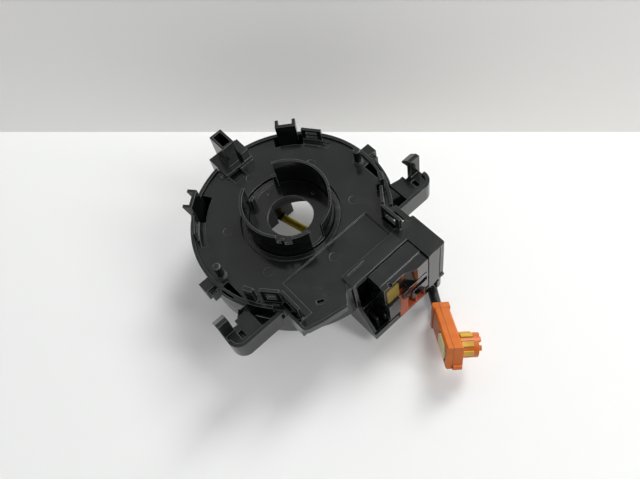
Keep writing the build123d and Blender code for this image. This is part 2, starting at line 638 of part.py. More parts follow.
# ---------------------------------------------------------------- lead's route and clamp
# Corner points of the lead's centre line: along the ground first, in plan, and then up in two
# steps, each half as steep again, to the squib connector
lead_plan = [
    (-29.8, 8.83),
    (-13.0, 12.8),
    (5.0, 18.0),
    (30.34, 36.82),
    (38.53, 40.55),
    (45.92, 41.85),
    (53.4, 41.26),
    (60.49, 38.82),
    (66.74, 34.68),
]
squib_heading = -33.5        # degrees from the X axis, in plan
squib_rise = 29.4            # degrees above the ground
squib_roll = -9.4            # degrees about its own length
rise_run = 6.9               # length of each rising step
lead_points = [(x, y, lead_height) for x, y in lead_plan]
for slope in (squib_rise / 2, squib_rise):
    x, y, z = lead_points[-1]
    level = rise_run * cos(radians(slope))
    lead_points.append((x + level * cos(radians(squib_heading)),
                        y + level * sin(radians(squib_heading)),
                        z + rise_run * sin(radians(slope))))


def bend_radii(points):
    """For each inner corner, the radius that uses 0.45 of the shorter run beside it."""
    radii = []
    for before, corner, after in zip(points, points[1:], points[2:]):
        first = Vector(*corner) - Vector(*before)
        second = Vector(*after) - Vector(*corner)
        run = min(first.length, second.length)
        radii.append(0.45 * run / tan(radians(first.get_angle(second)) / 2))
    return radii


lead_radii = bend_radii(lead_points)
print("lead radii", [round(r, 1) for r in lead_radii])
lead_path = FilletPolyline(*lead_points, radius=lead_radii)


def along_lead(outer, inner, path):
    """A round section swept along a path that starts at the path's own start."""
    start = Plane(origin=path @ 0, z_dir=path % 0)
    solid = sweep(start * Circle(outer), path=path)
    if inner > 0:
        solid -= sweep(start * Circle(inner), path=path)
    return solid


lead = along_lead(lead_diameter / 2, 0, lead_path)
section = pi * lead_diameter ** 2 / 4
print("lead length", round(lead_path.length, 1))
print("lead volume / (section x length)", round(lead.volume / (section * lead_path.length), 4))
save("airbag_lead", lead)

clamp = block(plug_x, (plug_y[1] + seat_gap, pocket_y[1] - seat_gap), (0.4, 13.0))
start_direction = lead_path % 0
stub_length = 3.5
stub_start = (lead_path @ 0) - start_direction * stub_length
stub = extrude(Plane(origin=stub_start, z_dir=start_direction) * Circle(lead_diameter / 2), stub_length)
clamp += stub
clamp -= block((plug_x[0] + 1.0, plug_x[1] - 1.0), (11.2, 13.8), (6.0, 14.0))
save("lead_clamp", clamp)

# Sleeve over the last part of the lead, from half way along one of its runs
sleeve_from = 6
sleeve_points = lead_points[sleeve_from:]
sleeve_radii = lead_radii[sleeve_from:]
sleeve_points[0] = tuple((Vector(*lead_points[sleeve_from]) + Vector(*lead_points[sleeve_from + 1])) / 2)
sleeve_path = FilletPolyline(*sleeve_points, radius=sleeve_radii)
sleeve_radius = lead_diameter / 2 + sleeve_wall
save("lead_sleeve", along_lead(sleeve_radius, lead_diameter / 2 + 0.05, sleeve_path))

# ---------------------------------------------------------------- squib connector
# Drawn with u along its body from the lead, v to the left and w up, then put in place.
squib_length = 36.2
squib_width = 8.2
squib_height = 12.9
squib_wall = 1.3
split = -0.8                 # v of the seam between housing and cover
nose_place = (27.0, 6.45)    # u and w of the nose's axis
nose_radius = 6.1
nose_bore = 3.3
nose_reach = 12.7
key_angles = (0, 45, 90, 135, 180)
key_inner = 4.8
key_outer = 6.6
key_half = 1.3
head_length = 4.2
head_swell = 0.4
half = squib_width / 2
squib_place = Pos(*lead_points[-1]) * Rot(0, 0, squib_heading) * Rot(0, -squib_rise, 0) * Rot(
    squib_roll, 0, 0) * Pos(0, 0, -squib_height / 2)


def nose(radius, start, end):
    """A cylinder along v on the nose's axis."""
    u, w = nose_place
    return Pos(u, (start + end) / 2, w) * Rot(90, 0, 0) * Cylinder(radius, end - start)


def round_nose(shape, angle):
    """A shape drawn beside the nose's axis, towards u, turned about that axis towards w."""
    u, w = nose_place
    return Pos(u, 0, w) * Rot(0, -angle, 0) * shape


housing = block((0, squib_length), (split, half), (0, squib_height))
housing = chamfer(housing.edges().filter_by(Axis.X).sort_by(Axis.Y)[-2:], 0.8)
housing += block((0, head_length), (split, half + head_swell), (-head_swell, squib_height + head_swell))
housing += block((squib_length - 1, squib_length + 1.0), (split, half - 0.3), (0, 2.0))
housing += nose(nose_radius, half - 0.5, nose_reach)
housing -= block((squib_wall, squib_length - 2.2), (split - 1, half - squib_wall),
                 (squib_wall, squib_height - squib_wall))
housing -= nose(nose_bore, split, nose_reach + 1)
for angle in key_angles:
    housing -= round_nose(block((key_inner - seat_gap, 9), (half, nose_reach - 2.4),
                                (-key_half - seat_gap, key_half + seat_gap)), angle)
    housing -= round_nose(block((key_inner - 0.9, key_inner + 0.2), (split, half + 0.5),
                                (-key_half - seat_gap, key_half + seat_gap)), angle)
save("squib_housing", squib_place * housing)

squib_cover = block((0, squib_length), (-half, split), (0, squib_height))
squib_cover = chamfer(squib_cover.edges().filter_by(Axis.X).sort_by(Axis.Y)[:2], 0.8)
head = block((0, head_length), (-half - head_swell, split), (-head_swell, squib_height + head_swell))
squib_cover += chamfer(head.edges().filter_by(Axis.Z).group_by(Axis.X)[0].sort_by(Axis.Y)[:1], 0.9)
lock_u = (19.6, 34.0)
lock_w = (2.8, 11.0)
squib_cover -= block((lock_u[0] - seat_gap, lock_u[1] + seat_gap), (-half - 1, -half + 1.2),
                     (lock_w[0] - seat_gap, lock_w[1] + seat_gap))
save("squib_cover", squib_place * squib_cover)

squib_lock = block(lock_u, (-half - 0.6, -half + 1.0), lock_w)
squib_lock = chamfer(squib_lock.edges().filter_by(Axis.Y), 2.4)
save("squib_lock", squib_place * squib_lock)

# Key bars lie in the slots round the nose, joined by a ring inside the housing
ring_v = (half - squib_wall - 1.0, half - squib_wall - seat_gap)
keys = nose(key_inner, *ring_v) - nose(nose_bore + 0.3, 0, half)
for angle in key_angles:
    keys += round_nose(block((key_inner, key_outer), (half + seat_gap, nose_reach - 2.6),
                             (-key_half, key_half)), angle)
    keys += round_nose(block((key_inner - 0.6, key_inner + 0.1), (ring_v[0], half + 0.4),
                             (-key_half, key_half)), angle)
save("squib_keys", squib_place * keys)

contact_holder = nose(nose_bore - 0.1, ring_v[0] - 1.4, nose_reach - 3.0)
contact_holder += block((8.0, nose_place[0]), (split + 0.3, ring_v[0] - 0.3), (4.6, 8.2))
for offset_u in (-1.2, 1.2):
    contact_holder -= Pos(nose_place[0] + offset_u, nose_reach, nose_place[1]) * Rot(
        90, 0, 0) * Cylinder(0.6, 12)
save("squib_contacts", squib_place * contact_holder)

# ---------------------------------------------------------------- flat cable, inner end
inner_turns = tube(hub_radius + cable_gap + turns_thickness, hub_radius + cable_gap,
                   cable_bottom, cable_top)
save("cable_inner_turns", inner_turns)

hub_inner = hub_radius - hub_wall
inner_block = block((-hub_radius + 0.1, 0.6 - hub_inner), (-3.6, 3.6), inner_block_z)
inner_block += block((pin_line + 0.8, 0.6 - hub_inner), (-3.6, 3.6), strip_z)
save("cable_end_block_inner", inner_block)

# ---------------------------------------------------------------- roller carrier and rollers
pitch = (turns_inner + hub_radius + cable_gap + turns_thickness) / 2
carrier_inner = shoulder_radius + turn_gap
carrier_outer = turns_inner - 0.45
roller_bottom = carrier_top + seat_gap
roller_top = cable_top - 0.6
spindle_places = [u_roller_angle]
for count in range(guide_roller_count):
    spindle_places.append(u_roller_angle + 360 / (guide_roller_count + 1) * (count + 1))
guide_pitch = turns_inner - cable_gap - guide_roller_radius
carrier = tube(carrier_outer, carrier_inner, carrier_bottom, carrier_top)
for angle in spindle_places:
    place = pitch if angle == u_roller_angle else guide_pitch
    carrier += at_angle(rod(place, 0, spindle_radius, carrier_bottom, roller_top - 0.4), angle)
save("roller_carrier", carrier)


def roller(radius, place, angle):
    """A roller on its spindle."""
    shape = rod(place, 0, radius, roller_bottom, roller_top)
    shape -= rod(place, 0, spindle_radius + spindle_gap, 0, 100)
    return at_angle(shape, angle)


save("u_roller", roller(u_roller_radius, pitch, u_roller_angle))
for count in range(guide_roller_count):
    guide = roller(guide_roller_radius, guide_pitch, spindle_places[count + 1])
    save("guide_roller_" + str(count + 1), guide)

loop_inner = u_roller_radius + cable_gap
u_turn = rod(pitch, 0, loop_inner + ribbon_thickness, cable_bottom, cable_top)
u_turn -= rod(pitch, 0, loop_inner, 0, 100)
u_turn = u_turn & block((0, 60), (0, 20), (0, 100))
save("cable_u_turn", at_angle(u_turn, u_roller_angle))
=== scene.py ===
import math

import bpy
from mathutils import Matrix, Vector


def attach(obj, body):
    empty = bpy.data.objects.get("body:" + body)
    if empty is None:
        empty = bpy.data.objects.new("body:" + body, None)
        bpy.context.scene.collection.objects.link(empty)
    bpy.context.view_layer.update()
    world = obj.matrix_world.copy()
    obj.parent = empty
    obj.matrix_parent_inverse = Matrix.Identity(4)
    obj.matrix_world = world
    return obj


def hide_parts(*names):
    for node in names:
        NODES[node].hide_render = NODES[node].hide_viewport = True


# A steering clock spring, lying on its wheel side, dressed over its solid model.
# +Z runs up the steering shaft's axis. The scene is in metres, and the small moulded
# pieces are laid out in millimetres.

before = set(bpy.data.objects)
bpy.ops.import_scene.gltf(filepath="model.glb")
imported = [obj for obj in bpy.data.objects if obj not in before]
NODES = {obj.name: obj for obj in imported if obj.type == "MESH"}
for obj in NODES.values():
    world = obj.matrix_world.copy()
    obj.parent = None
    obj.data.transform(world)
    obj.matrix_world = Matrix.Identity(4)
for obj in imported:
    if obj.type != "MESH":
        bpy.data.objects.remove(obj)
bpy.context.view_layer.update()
MM = 0.001

# ---------------------------------------------------------------- the airbag lead's route
LEAD_HEIGHT = 2.8 * MM       # the lead's centre line above the ground
LEAD_DIAMETER = 4.6 * MM
SLEEVE_RADIUS = 2.72 * MM
SLEEVE_TUCK = 0.12 * MM      # how much its two ends draw in

# The lead's run on the ground, in millimetres: from its clamp, across the bore and out
LEAD_PLAN = [
    (-29.8, 8.83),
    (-13.0, 12.8),
    (5.0, 18.0),
    (30.34, 36.82),
    (38.53, 40.55),
    (45.92, 41.85),
    (53.4, 41.26),
    (60.49, 38.82),
    (66.74, 34.68),
]
SLEEVE_START = (6, 7)        # the two points that the sleeve begins midway between

# The squib connector stands up from the ground at the lead's end, turned and rolled.
SQUIB_HEADING = math.radians(-33.5)
SQUIB_RISE = math.radians(29.4)
SQUIB_ROLL = math.radians(-9.4)
SQUIB_SPLIT = -0.8 * MM      # where its housing and cover meet, across its width
RISE_RUN = 6.9 * MM          # length of each of the two steps by which the lead rises

LEAD_POINTS = [Vector((x * MM, y * MM, LEAD_HEIGHT)) for x, y in LEAD_PLAN]
for slope in (SQUIB_RISE / 2, SQUIB_RISE):
    level = RISE_RUN * math.cos(slope)
    step = Vector((level * math.cos(SQUIB_HEADING), level * math.sin(SQUIB_HEADING),
                   RISE_RUN * math.sin(slope)))
    LEAD_POINTS.append(LEAD_POINTS[-1] + step)
SQUIB_TURN = (Matrix.Rotation(SQUIB_HEADING, 3, "Z") @ Matrix.Rotation(-SQUIB_RISE, 3, "Y")
              @ Matrix.Rotation(SQUIB_ROLL, 3, "X"))
SQUIB_SIDEWAYS = SQUIB_TURN @ Vector((0, 1, 0))

# ---------------------------------------------------------------- camera
CAMERA_PLACE = (0.17029, -0.07702, 0.34746)
CAMERA_TURN = (28.688, 7.871, 48.240)    # in degrees
LENS_LENGTH = 38.605                     # in millimetres, before a sensor 36 mm wide
SENSOR_WIDTH = 36.0
NEAREST_SEEN = 0.01

camera_data = bpy.data.cameras.new("camera")
camera = bpy.data.objects.new("camera", camera_data)
bpy.context.scene.collection.objects.link(camera)
bpy.context.scene.camera = camera
camera_data.sensor_width = SENSOR_WIDTH
camera_data.lens = LENS_LENGTH
camera_data.clip_start = NEAREST_SEEN
camera.location = CAMERA_PLACE
camera.rotation_euler = [math.radians(turn) for turn in CAMERA_TURN]


# ---------------------------------------------------------------- node maths
class Value:
    """A number that varies over a surface: a socket, with arithmetic."""

    def __init__(self, tree, socket):
        self.tree = tree
        self.socket = socket

    def combine(self, operation, other=None, reverse=False, clamp=False):
        node = self.tree.nodes.new("ShaderNodeMath")
        node.operation = operation
        node.use_clamp = clamp
        ends = (other, self) if reverse else (self, other)
        for slot, end in zip(node.inputs, ends):
            if isinstance(end, Value):
                self.tree.links.new(end.socket, slot)
            elif end is not None:
                slot.default_value = end
        return Value(self.tree, node.outputs[0])

    def __add__(self, other):
        return self.combine("ADD", other)

    def __radd__(self, other):
        return self.combine("ADD", other, reverse=True)

    def __sub__(self, other):
        return self.combine("SUBTRACT", other)

    def __rsub__(self, other):
        return self.combine("SUBTRACT", other, reverse=True)

    def __mul__(self, other):
        return self.combine("MULTIPLY", other)

    def __rmul__(self, other):
        return self.combine("MULTIPLY", other, reverse=True)

    def __abs__(self):
        return self.combine("ABSOLUTE")

    def clamped(self):
        return self.combine("ADD", 0.0, clamp=True)


class Finish:
    """A material being made: its nodes, its shader and what feeds the shader."""

    def __init__(self, name, metallic=0.0, coat=0.0, coat_roughness=0.1, specular=0.5):
        self.material = bpy.data.materials.new(name)
        self.material.use_nodes = True
        self.tree = self.material.node_tree
        self.shader = self.tree.nodes["Principled BSDF"]
        self.shader.inputs["Metallic"].default_value = metallic
        self.shader.inputs["Coat Weight"].default_value = coat
        self.shader.inputs["Coat Roughness"].default_value = coat_roughness
        self.shader.inputs["Specular IOR Level"].default_value = specular
        self.place = self.node("ShaderNodeTexCoord").outputs["Object"]

    def fill(self, slot, value):
        """Link or set one socket; a tuple in a colour's socket is given its alpha."""
        if isinstance(value, Value):
            self.tree.links.new(value.socket, slot)
        elif isinstance(value, bpy.types.NodeSocket):
            self.tree.links.new(value, slot)
        elif isinstance(value, tuple) and slot.type == "RGBA":
            slot.default_value = (*value, 1.0)
        else:
            slot.default_value = value

    def node(self, kind, settings=None, **sockets):
        made = self.tree.nodes.new(kind)
        for key, value in (settings or {}).items():
            setattr(made, key, value)
        for key, value in sockets.items():
            self.fill(made.inputs[key.replace("_", " ")], value)
        return made

    def feed(self, **sockets):
        """Feed the shader's own sockets, and give back the material."""
        for key, value in sockets.items():
            self.fill(self.shader.inputs[key.replace("_", " ")], value)
        return self.material

    def stretched(self, scale):
        return self.node("ShaderNodeMapping", Vector=self.place, Scale=scale).outputs["Vector"]

    def noise(self, scale, detail=3.0, roughness=0.55, distortion=0.0, place=None):
        made = self.node("ShaderNodeTexNoise", Vector=place or self.place, Scale=scale,
                         Detail=detail, Roughness=roughness, Distortion=distortion)
        return Value(self.tree, made.outputs["Fac"])

    def mask(self, value, low, high):
        """Nought up to one as the value goes from low to high."""
        made = self.node("ShaderNodeMapRange", {"clamp": True}, Value=value,
                         From_Min=low, From_Max=high)
        return Value(self.tree, made.outputs["Result"])

    def blend(self, factor, first, second):
        made = self.node("ShaderNodeMix", {"data_type": "RGBA"})
        for slot, value in zip((made.inputs["Factor"], made.inputs[6], made.inputs[7]),
                               (factor, first, second)):
            self.fill(slot, value)
        return made.outputs[2]

    def dot(self, first, second):
        made = self.node("ShaderNodeVectorMath", {"operation": "DOT_PRODUCT"})
        self.fill(made.inputs[0], first)
        self.fill(made.inputs[1], second)
        return Value(self.tree, made.outputs["Value"])

    def edges(self, radius):
        """The surface's direction, rounded over at its edges."""
        return self.node("ShaderNodeBevel", {"samples": 8}, Radius=radius).outputs["Normal"]

    def edge_highlight_mask(self, radius):
        """One along the edges and nought on the flats: where a painted highlight goes."""
        flat = self.node("ShaderNodeNewGeometry").outputs["Normal"]
        return self.mask(self.dot(self.edges(radius), flat), low=0.97, high=0.80)

    def bump(self, height, strength, distance, direction=None):
        sockets = {"Height": height, "Strength": strength, "Distance": distance}
        if direction is not None:
            sockets["Normal"] = direction
        return self.node("ShaderNodeBump", **sockets).outputs["Normal"]

    def glow_to_view(self, strength):
        """A little white of its own in what the eye, gloss and clear parts see."""
        rays = self.node("ShaderNodeLightPath")
        seen = (Value(self.tree, rays.outputs["Is Camera Ray"])
                + Value(self.tree, rays.outputs["Is Glossy Ray"])
                + Value(self.tree, rays.outputs["Is Transmission Ray"])).clamped()
        self.shader.inputs["Emission Strength"].default_value = strength
        self.feed(Emission_Color=self.blend(seen, (0.0, 0.0, 0.0), (1.0, 1.0, 1.0)))


# ---------------------------------------------------------------- finishes
PAINTED_EDGE_HIGHLIGHT = (0.26, 0.27, 0.27)          # painted highlight: black plastic lightened along its edges
SQUIB_EDGE_HIGHLIGHT = (0.90, 0.42, 0.20)          # painted highlight: the squib's orange lightened along its edges
SQUIB_ROUNDING = 0.35 * MM
SHUT_LINE = (0.24 * MM, 0.10 * MM)       # from the line's middle: where it fades out, and is full


def shaded(colour, share):
    return tuple(channel * share for channel in colour)


def moulded_black(name, colour, rough, edge=0.5 * MM, grain=0.3, coat=0.0):
    """Moulded black plastic: glossy, with faint flow marks, smudges, a little dust and a painted
    highlight along its edges.
    """
    finish = Finish(name, coat=coat, coat_roughness=0.08)
    flow = finish.noise(34.0, detail=4.0, roughness=0.6, distortion=0.8,
                        place=finish.stretched((1.0, 1.4, 0.5)))
    cloud = finish.noise(70.0, detail=5.0, roughness=0.65, distortion=0.5)
    smudge = finish.mask(cloud, low=0.45, high=0.75)
    speck = finish.mask(finish.noise(1500.0, detail=2.0), low=0.68, high=0.76)
    dust = tuple(channel * 2.5 + 0.012 for channel in colour)
    base = finish.blend(smudge * 0.35 + speck * 0.3, colour, dust)
    # Painted highlight: the black is lightened along every edge.
    base = finish.blend(finish.edge_highlight_mask(edge) * 0.7, base, PAINTED_EDGE_HIGHLIGHT)
    roughness = rough + (flow - 0.5) * 0.10 + smudge * 0.12
    fine = finish.noise(2600.0, detail=3.0, roughness=0.6) * grain + flow * 2.2
    normal = finish.bump(fine, strength=0.16, distance=0.06 * MM, direction=finish.edges(edge))
    return finish.feed(Base_Color=base, Roughness=roughness.clamped(), Normal=normal)


def moulded_colour(name, colour, shade, rough=0.42, edge=0.25 * MM):
    """Coloured connector plastic, a little uneven in colour, worn paler along its flow."""
    finish = Finish(name)
    cloud = finish.noise(160.0, detail=4.0, roughness=0.6, distortion=0.6)
    fleck = finish.mask(finish.noise(1400.0, detail=2.0), low=0.64, high=0.72)
    base = finish.blend(finish.mask(cloud, low=0.3, high=0.75), colour, shade)
    base = finish.blend(fleck * 0.25, base, shaded(colour, 0.6))
    fine = finish.noise(2200.0, detail=3.0) * 0.4 + cloud * 0.8
    normal = finish.bump(fine, strength=0.3, distance=0.08 * MM, direction=finish.edges(edge))
    return finish.feed(Base_Color=base, Roughness=rough + (cloud - 0.5) * 0.15, Normal=normal)


def squib_plastic(name, colour, shade):
    """Orange connector plastic with the shut line between its housing and its cover, darkened there
    as painted shade, and a painted highlight along its edges.
    """
    finish = Finish(name, specular=0.4)
    cloud = finish.noise(160.0, detail=4.0, roughness=0.6, distortion=0.6)
    base = finish.blend(finish.mask(cloud, low=0.3, high=0.75), colour, shade)
    line_place = SQUIB_SIDEWAYS.dot(LEAD_POINTS[-1]) + SQUIB_SPLIT
    from_line = abs(finish.dot(finish.place, SQUIB_SIDEWAYS) - line_place)
    line = finish.mask(from_line, *SHUT_LINE)
    # Painted shade: the shut line is darkened in colour, on top of its bumped groove.
    base = finish.blend(line * 0.75, base, shaded(colour, 0.28))
    # Painted highlight: the orange is lightened along every edge.
    base = finish.blend(finish.edge_highlight_mask(SQUIB_ROUNDING) * 0.5, base, SQUIB_EDGE_HIGHLIGHT)
    normal = finish.bump(cloud * 0.5 - line * 4.0, strength=0.4, distance=0.1 * MM,
                         direction=finish.edges(SQUIB_ROUNDING))
    return finish.feed(Base_Color=base, Roughness=0.38 + (cloud - 0.5) * 0.15, Normal=normal)


def bright_metal(name, colour, rough=0.28):
    """Stamped and plated contact metal with fine drawing lines."""
    finish = Finish(name, metallic=1.0)
    lines = finish.noise(900.0, detail=3.0, roughness=0.6, place=finish.stretched((1.0, 8.0, 8.0)))
    tarnish = finish.mask(finish.noise(260.0, detail=4.0), low=0.45, high=0.8)
    base = finish.blend(tarnish * 0.5, colour, shaded(colour, 0.55))
    normal = finish.bump(lines, strength=0.2, distance=0.04 * MM)
    return finish.feed(Base_Color=base, Roughness=rough + tarnish * 0.2, Normal=normal)


def lead_jacket(name, colour, shade):
    """Soft vinyl jacket of the lead, with the faint waviness of the wires inside it."""
    finish = Finish(name)
    wave = finish.noise(240.0, detail=2.0, roughness=0.5, distortion=0.4)
    dirt = finish.mask(finish.noise(420.0, detail=5.0, roughness=0.65), low=0.5, high=0.78)
    base = finish.blend(dirt * 0.5, colour, shade)
    fine = wave + finish.noise(3000.0, detail=2.0) * 0.15
    normal = finish.bump(fine, strength=0.35, distance=0.16 * MM)
    return finish.feed(Base_Color=base, Roughness=0.36 + dirt * 0.25, Normal=normal)


BLACK = moulded_black("satin_black_plastic", (0.0065, 0.0085, 0.0075), 0.15)
BLACK_CASE = moulded_black("case_black_plastic", (0.0060, 0.0070, 0.0070), 0.14)
BLACK_CAM = moulded_black("cam_black_plastic", (0.0050, 0.0065, 0.0055), 0.12, edge=0.55 * MM)
BLACK_GLOSS = moulded_black("gloss_black_plastic", (0.0045, 0.0055, 0.0055), 0.10,
                            grain=0.05, coat=0.2)
RING_BLACK = moulded_black("ring_black_plastic", (0.012, 0.0125, 0.013), 0.2)
ORANGE = squib_plastic("orange_plastic", (0.64, 0.140, 0.014), (0.70, 0.19, 0.035))
ORANGE_SOCKET = moulded_colour("socket_orange_plastic", (0.42, 0.085, 0.03), (0.55, 0.13, 0.05))
YELLOW = moulded_colour("yellow_plastic", (0.58, 0.33, 0.02), (0.80, 0.52, 0.08))
OCHRE = moulded_colour("ochre_plastic", (0.24, 0.165, 0.016), (0.32, 0.23, 0.04), rough=0.3)
PALE_YELLOW = moulded_colour("pale_yellow_plastic", (0.92, 0.76, 0.34), (0.96, 0.84, 0.48))
GREASE = moulded_colour("bearing_grease", (0.32, 0.25, 0.15), (0.22, 0.17, 0.10), rough=0.2)
# Painted shade: a dark matte finish for the strip standing in the end cover's gap.
GAP_SHADE = moulded_colour("painted_gap_shade", (0.004, 0.003, 0.004), (0.006, 0.004, 0.006),
                           rough=0.8)
WHITE = moulded_colour("natural_plastic", (0.70, 0.69, 0.64), (0.78, 0.77, 0.73))
RIBBON = moulded_colour("ribbon_film", (0.50, 0.36, 0.18), (0.60, 0.46, 0.26), rough=0.25)
BRASS = bright_metal("contact_metal", (0.80, 0.66, 0.38))
JACKET = lead_jacket("mustard_vinyl", (0.74, 0.58, 0.012), (0.55, 0.40, 0.012))
SLEEVE = lead_jacket("black_sleeve", (0.012, 0.012, 0.012), (0.03, 0.03, 0.03))

FINISHES = {
    "column_cover": BLACK,
    "drum_case": BLACK_CASE,
    "box_end_cover": BLACK,
    "column_connector": BLACK_GLOSS,
    "socket_latch": BLACK_GLOSS,
    "airbag_socket": ORANGE_SOCKET,
    "socket_lock": OCHRE,
    "column_terminals": BRASS,
    "cable_end_block_outer": BLACK,
    "cable_outer_turns": RIBBON,
    "rotor_hub": BLACK_CAM,
    "cancel_cam": BLACK_CAM,
    "slide_ring": RING_BLACK,
    "rotor_face": BLACK,
    "wheel_connector": BLACK_GLOSS,
    "wheel_terminals": BRASS,
    "lead_clamp": BLACK,
    "cable_inner_turns": RIBBON,
    "cable_end_block_inner": BLACK,
    "squib_housing": ORANGE,
    "squib_cover": ORANGE,
    "squib_lock": PALE_YELLOW,
    "squib_keys": YELLOW,
    "squib_contacts": BRASS,
    "roller_carrier": WHITE,
    "cable_u_turn": RIBBON,
    "u_roller": WHITE,
    "guide_roller_1": WHITE,
    "guide_roller_2": WHITE,
    "guide_roller_3": WHITE,
    "guide_roller_4": WHITE,
}
for node_name, material in FINISHES.items():
    for slot in NODES[node_name].material_slots:
        slot.material = material


def paint(piece, material):
    piece.data.materials.clear()
    piece.data.materials.append(material)


# ---------------------------------------------------------------- lead and its sleeve
def route(name, points, radius):
    """A round cord along one smooth spline."""
    data = bpy.data.curves.new(name, "CURVE")
    data.dimensions = "3D"
    spline = data.splines.new("NURBS")
    spline.points.add(len(points) - 1)
    for point, place in zip(spline.points, points):
        point.co = (*place, 1.0)
    spline.order_u = 3
    spline.use_endpoint_u = True
    spline.resolution_u = 12
    data.bevel_depth = radius
    data.bevel_resolution = 6
    data.use_fill_caps = True
    curve = bpy.data.objects.new(name, data)
    bpy.context.scene.collection.objects.link(curve)
    return curve


def centre_line(points):
    """Places along the lead's spline, read from the curve with no thickness."""
    bare = route("bare_line", points, 0.0)
    bpy.context.view_layer.update()
    mesh = bpy.data.meshes.new_from_object(bare)
    line = [vertex.co.copy() for vertex in mesh.vertices]
    bpy.data.objects.remove(bare)
    bpy.data.meshes.remove(mesh)
    return line


def tube_along(name, line, radii, sides=32):
    """A round wall that follows a line, with a radius at each place along it."""
    vertices = []
    faces = []
    up = Vector((0, 0, 1))
    last = len(line) - 1
    for index, place in enumerate(line):
        ahead = (line[min(index + 1, last)] - line[max(index - 1, 0)]).normalized()
        side = ahead.cross(up).normalized()
        for step in range(sides):
            angle = 2 * math.pi * step / sides
            out = side * math.cos(angle) + up * math.sin(angle)
            vertices.append(place + out * radii[index])
    for ring in range(last):
        for step in range(sides):
            here = ring * sides + step
            beside = ring * sides + (step + 1) % sides
            faces.append((here, beside, beside + sides, here + sides))
    faces.append(tuple(range(sides - 1, -1, -1)))
    faces.append(tuple(range(last * sides, (last + 1) * sides)))
    mesh = bpy.data.meshes.new(name)
    mesh.from_pydata([tuple(vertex) for vertex in vertices], [], faces)
    mesh.update()
    for polygon in mesh.polygons:
        polygon.use_smooth = len(polygon.vertices) == 4
    piece = bpy.data.objects.new(name, mesh)
    bpy.context.scene.collection.objects.link(piece)
    return piece


lead = route("lead", LEAD_POINTS, LEAD_DIAMETER / 2)
paint(lead, JACKET)

lead_line = centre_line(LEAD_POINTS)
sleeve_from = (LEAD_POINTS[SLEEVE_START[0]] + LEAD_POINTS[SLEEVE_START[1]]) / 2
nearest = min(range(len(lead_line)), key=lambda index: (lead_line[index] - sleeve_from).length)
sleeve_line = lead_line[nearest:]
sleeve_radii = [SLEEVE_RADIUS] * len(sleeve_line)
sleeve_radii[0] -= SLEEVE_TUCK
sleeve_radii[-1] -= SLEEVE_TUCK
sleeve = tube_along("sleeve", sleeve_line, sleeve_radii)
paint(sleeve, SLEEVE)

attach(lead, "wheel_side")
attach(sleeve, "wheel_side")
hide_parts("airbag_lead")
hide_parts("lead_sleeve")


# ---------------------------------------------------------------- small moulded pieces
SMOOTH_BELOW = math.radians(35)


def start_piece():
    bpy.ops.object.select_all(action="DESELECT")


def finish_piece(name, body, material, edge=0.0):
    """Apply the piece's place, round its edges, paint it and fasten it to its body."""
    piece = bpy.context.active_object
    piece.name = name
    piece.data.name = name
    bpy.ops.object.transform_apply(location=True, rotation=True, scale=True)
    if edge:
        rounding = piece.modifiers.new("rounding", "BEVEL")
        rounding.width = edge
        rounding.segments = 2
        rounding.limit_method = "ANGLE"
        bpy.ops.object.modifier_apply(modifier="rounding")
    bpy.ops.object.shade_smooth_by_angle(angle=SMOOTH_BELOW)
    paint(piece, material)
    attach(piece, body)
    return piece


def extrude_up(height):
    bpy.ops.object.mode_set(mode="EDIT")
    bpy.ops.mesh.select_all(action="SELECT")
    bpy.ops.mesh.extrude_region_move(TRANSFORM_OT_translate={"value": (0, 0, height)})
    bpy.ops.mesh.select_all(action="SELECT")
    bpy.ops.mesh.normals_make_consistent(inside=False)
    bpy.ops.object.mode_set(mode="OBJECT")


def four_sided_plate(name, corners, levels, body, material, edge=0.15):
    """A moulded plate with four corners in plan, in millimetres."""
    start_piece()
    bpy.ops.mesh.primitive_plane_add(size=1.0)
    plate = bpy.context.active_object
    bottom, top = levels
    order = (0, 1, 3, 2)
    for index, (x, y) in zip(order, corners):
        plate.data.vertices[index].co = (x * MM, y * MM, bottom * MM)
    extrude_up((top - bottom) * MM)
    return finish_piece(name, body, material, edge * MM)


def box_corners(x_span, y_span):
    """The four corners of an upright box in plan, in turn."""
    return [(x_span[0], y_span[0]), (x_span[1], y_span[0]),
            (x_span[1], y_span[1]), (x_span[0], y_span[1])]


def ring_sector(name, radii, angles, levels, body, material, edge=0.15, steps=24):
    """Part of a ring about the shaft's axis: its section is turned about that axis."""
    start_piece()
    bpy.ops.mesh.primitive_plane_add(size=1.0, rotation=(math.radians(90), 0, 0))
    bpy.ops.object.transform_apply(rotation=True)
    section = bpy.context.active_object
    start = math.radians(angles[0])
    for vertex in section.data.vertices:
        radius = radii[0] if vertex.co.x < 0 else radii[1]
        level = levels[0] if vertex.co.z < 0 else levels[1]
        vertex.co = (radius * MM * math.cos(start), radius * MM * math.sin(start), level * MM)
    bpy.ops.object.mode_set(mode="EDIT")
    bpy.ops.mesh.select_all(action="SELECT")
    bpy.ops.mesh.spin(steps=steps, angle=math.radians(angles[0] - angles[1]),
                      center=(0, 0, 0), axis=(0, 0, 1))
    bpy.ops.mesh.select_all(action="SELECT")
    bpy.ops.mesh.remove_doubles(threshold=1e-6)
    bpy.ops.mesh.normals_make_consistent(inside=False)
    bpy.ops.object.mode_set(mode="OBJECT")
    return finish_piece(name, body, material, edge * MM)


